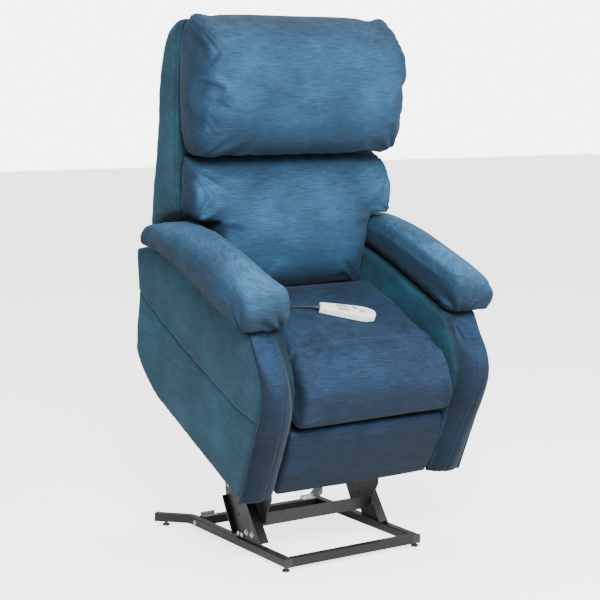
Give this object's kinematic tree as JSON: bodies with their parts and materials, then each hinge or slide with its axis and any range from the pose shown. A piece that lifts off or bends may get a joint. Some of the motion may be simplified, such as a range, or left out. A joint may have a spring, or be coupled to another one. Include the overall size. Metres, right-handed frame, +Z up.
{
  "type": "lift recliner chair",
  "caption": "Powered lift recliner chair, raised and tipped forward on its folding lift base, with a reclining back, an opening footrest and a push-button handset on the seat.",
  "frame": {"origin": "on the floor, under the middle of the chair's overall box as it stands raised", "axes": "+Z up, +X to the sitter's left, the chair faces -Y"},
  "size_m": [0.862, 0.7966, 1.5567],
  "materials": {
    "upholstery": "brushed teal-blue chenille",
    "black_steel": "satin powder coat",
    "zinc_steel": "zinc plated",
    "black_plastic": "moulded",
    "timber": "plain sawn",
    "handset_shell": "semi-gloss white",
    "button_caps": "soft-touch light grey",
    "cord_jacket": "matt"
  },
  "bodies": {
    "base": {"base_rail_left": "black_steel", "base_rail_right": "black_steel", "base_front_bar": "black_steel", "base_rear_bar": "black_steel", "rail_end_caps": "black_plastic", "levelling_feet": "black_plastic", "lift_tower_left": "black_steel", "lift_tower_right": "black_steel", "base_fittings": "zinc_steel"},
    "lift_links": {"lift_links": "black_steel", "knee_pins": "zinc_steel", "lift_torque_tube": "black_steel", "lift_cross_angle": "black_steel", "lift_crank": "black_steel"},
    "chair": {"seat_rails": "timber", "cross_tubes": "black_steel", "frame_hangers": "black_steel", "lift_side_plates": "black_steel", "pivot_pins": "zinc_steel", "seat_springs": "zinc_steel", "actuator_clevises": "black_steel", "recline_brackets": "black_steel", "control_box": "black_plastic", "seat_cushion": "upholstery", "rear_panel": "upholstery", "arm_cores": "upholstery", "arm_lower_panels": "upholstery", "arm_upper_panels": "upholstery", "arm_fronts": "upholstery", "arm_pad_left": "upholstery", "arm_pad_right": "upholstery", "arm_glides": "black_plastic", "handset_base": "handset_shell", "handset_cover": "handset_shell", "handset_relief": "black_plastic", "handset_cord": "cord_jacket", "cord_grommet": "black_plastic"},
    "lift_actuator": {"lift_actuator_tube": "black_steel", "lift_actuator_motor": "black_plastic"},
    "lift_rod": {"lift_actuator_rod": "zinc_steel"},
    "recline_actuator": {"recline_actuator_tube": "black_steel", "recline_actuator_motor": "black_plastic"},
    "recline_rod": {"recline_actuator_rod": "zinc_steel"},
    "footrest_arm": {"footrest_arms": "black_steel", "footrest_arm_pins": "zinc_steel"},
    "footrest_link": {"footrest_links": "black_steel", "footrest_link_pins": "zinc_steel"},
    "footrest": {"footrest_board": "timber", "footrest_pad": "upholstery", "footrest_brackets": "black_steel"},
    "backrest": {"back_posts": "timber", "back_rails": "timber", "back_shell": "upholstery", "lumbar_cushion": "upholstery", "headrest_cushion": "upholstery", "recline_crank": "black_steel"},
    "button_raise": {"button_raise": "button_caps"},
    "button_lower": {"button_lower": "button_caps"},
    "button_open": {"button_open": "button_caps"},
    "button_close": {"button_close": "button_caps"}
  },
  "joints": [
    {"name": "lift", "type": "hinge", "parent": "base", "child": "lift_links", "pos_m": [0, 0.068, 0.19], "axis": [-1, 0, 0], "range_deg": [-87.75, 0]},
    {"name": "chair_tilt", "type": "hinge", "parent": "lift_links", "child": "chair", "pos_m": [0, -0.072, 0.3], "axis": [1, 0, 0], "range_deg": [-112, 0]},
    {"name": "lift_actuator_pivot", "type": "hinge", "parent": "chair", "child": "lift_actuator", "pos_m": [0, -0.18682, 0.44655], "axis": [1, 0, 0], "range_deg": [-30, 30]},
    {"name": "lift_actuator_stroke", "type": "slide", "parent": "lift_actuator", "child": "lift_rod", "axis": [0, 0.609, -0.7932], "range_m": [-0.0765, 0]},
    {"name": "recline", "type": "hinge", "parent": "chair", "child": "backrest", "pos_m": [0, 0.14756, 0.71584], "axis": [-1, 0, 0], "range_deg": [0, 50]},
    {"name": "recline_actuator_pivot", "type": "hinge", "parent": "chair", "child": "recline_actuator", "pos_m": [0, -0.17737, 0.43762], "axis": [1, 0, 0], "range_deg": [-15, 15]},
    {"name": "recline_actuator_stroke", "type": "slide", "parent": "recline_actuator", "child": "recline_rod", "axis": [0, 0.8663, 0.4995], "range_m": [-0.073, 0]},
    {"name": "footrest_open", "type": "hinge", "parent": "chair", "child": "footrest_arm", "pos_m": [0, -0.25899, 0.41442], "axis": [-1, 0, 0], "range_deg": [0, 85]},
    {"name": "footrest_fold", "type": "hinge", "parent": "footrest_arm", "child": "footrest_link", "pos_m": [0, -0.20814, 0.30023], "axis": [1, 0, 0], "range_deg": [0, 170.5]},
    {"name": "footrest_panel", "type": "hinge", "parent": "footrest_link", "child": "footrest", "pos_m": [0, -0.25899, 0.41442], "axis": [-1, 0, 0], "range_deg": [0, 170.5]},
    {"name": "press_raise", "type": "slide", "parent": "chair", "child": "button_raise", "axis": [0, 0.4067, -0.9135], "range_m": [0, 0.001], "stiffness_N_per_m": 600},
    {"name": "press_lower", "type": "slide", "parent": "chair", "child": "button_lower", "axis": [0, 0.4067, -0.9135], "range_m": [0, 0.001], "stiffness_N_per_m": 600},
    {"name": "press_open", "type": "slide", "parent": "chair", "child": "button_open", "axis": [0, 0.4067, -0.9135], "range_m": [0, 0.001], "stiffness_N_per_m": 600},
    {"name": "press_close", "type": "slide", "parent": "chair", "child": "button_close", "axis": [0, 0.4067, -0.9135], "range_m": [0, 0.001], "stiffness_N_per_m": 600}
  ],
  "couplings": [
    {"joint": "chair_tilt", "follows": "lift", "ratio": 1.2735},
    {"joint": "lift_actuator_pivot", "follows": "lift", "ratio": -0.22682},
    {"joint": "lift_actuator_stroke", "follows": "lift", "m_per_rad": 0.047197},
    {"joint": "recline_actuator_pivot", "follows": "recline", "ratio": 0.034624},
    {"joint": "recline_actuator_stroke", "follows": "recline", "m_per_rad": -0.077874},
    {"joint": "footrest_fold", "follows": "footrest_open", "ratio": 2},
    {"joint": "footrest_panel", "follows": "footrest_open", "ratio": 2}
  ]
}
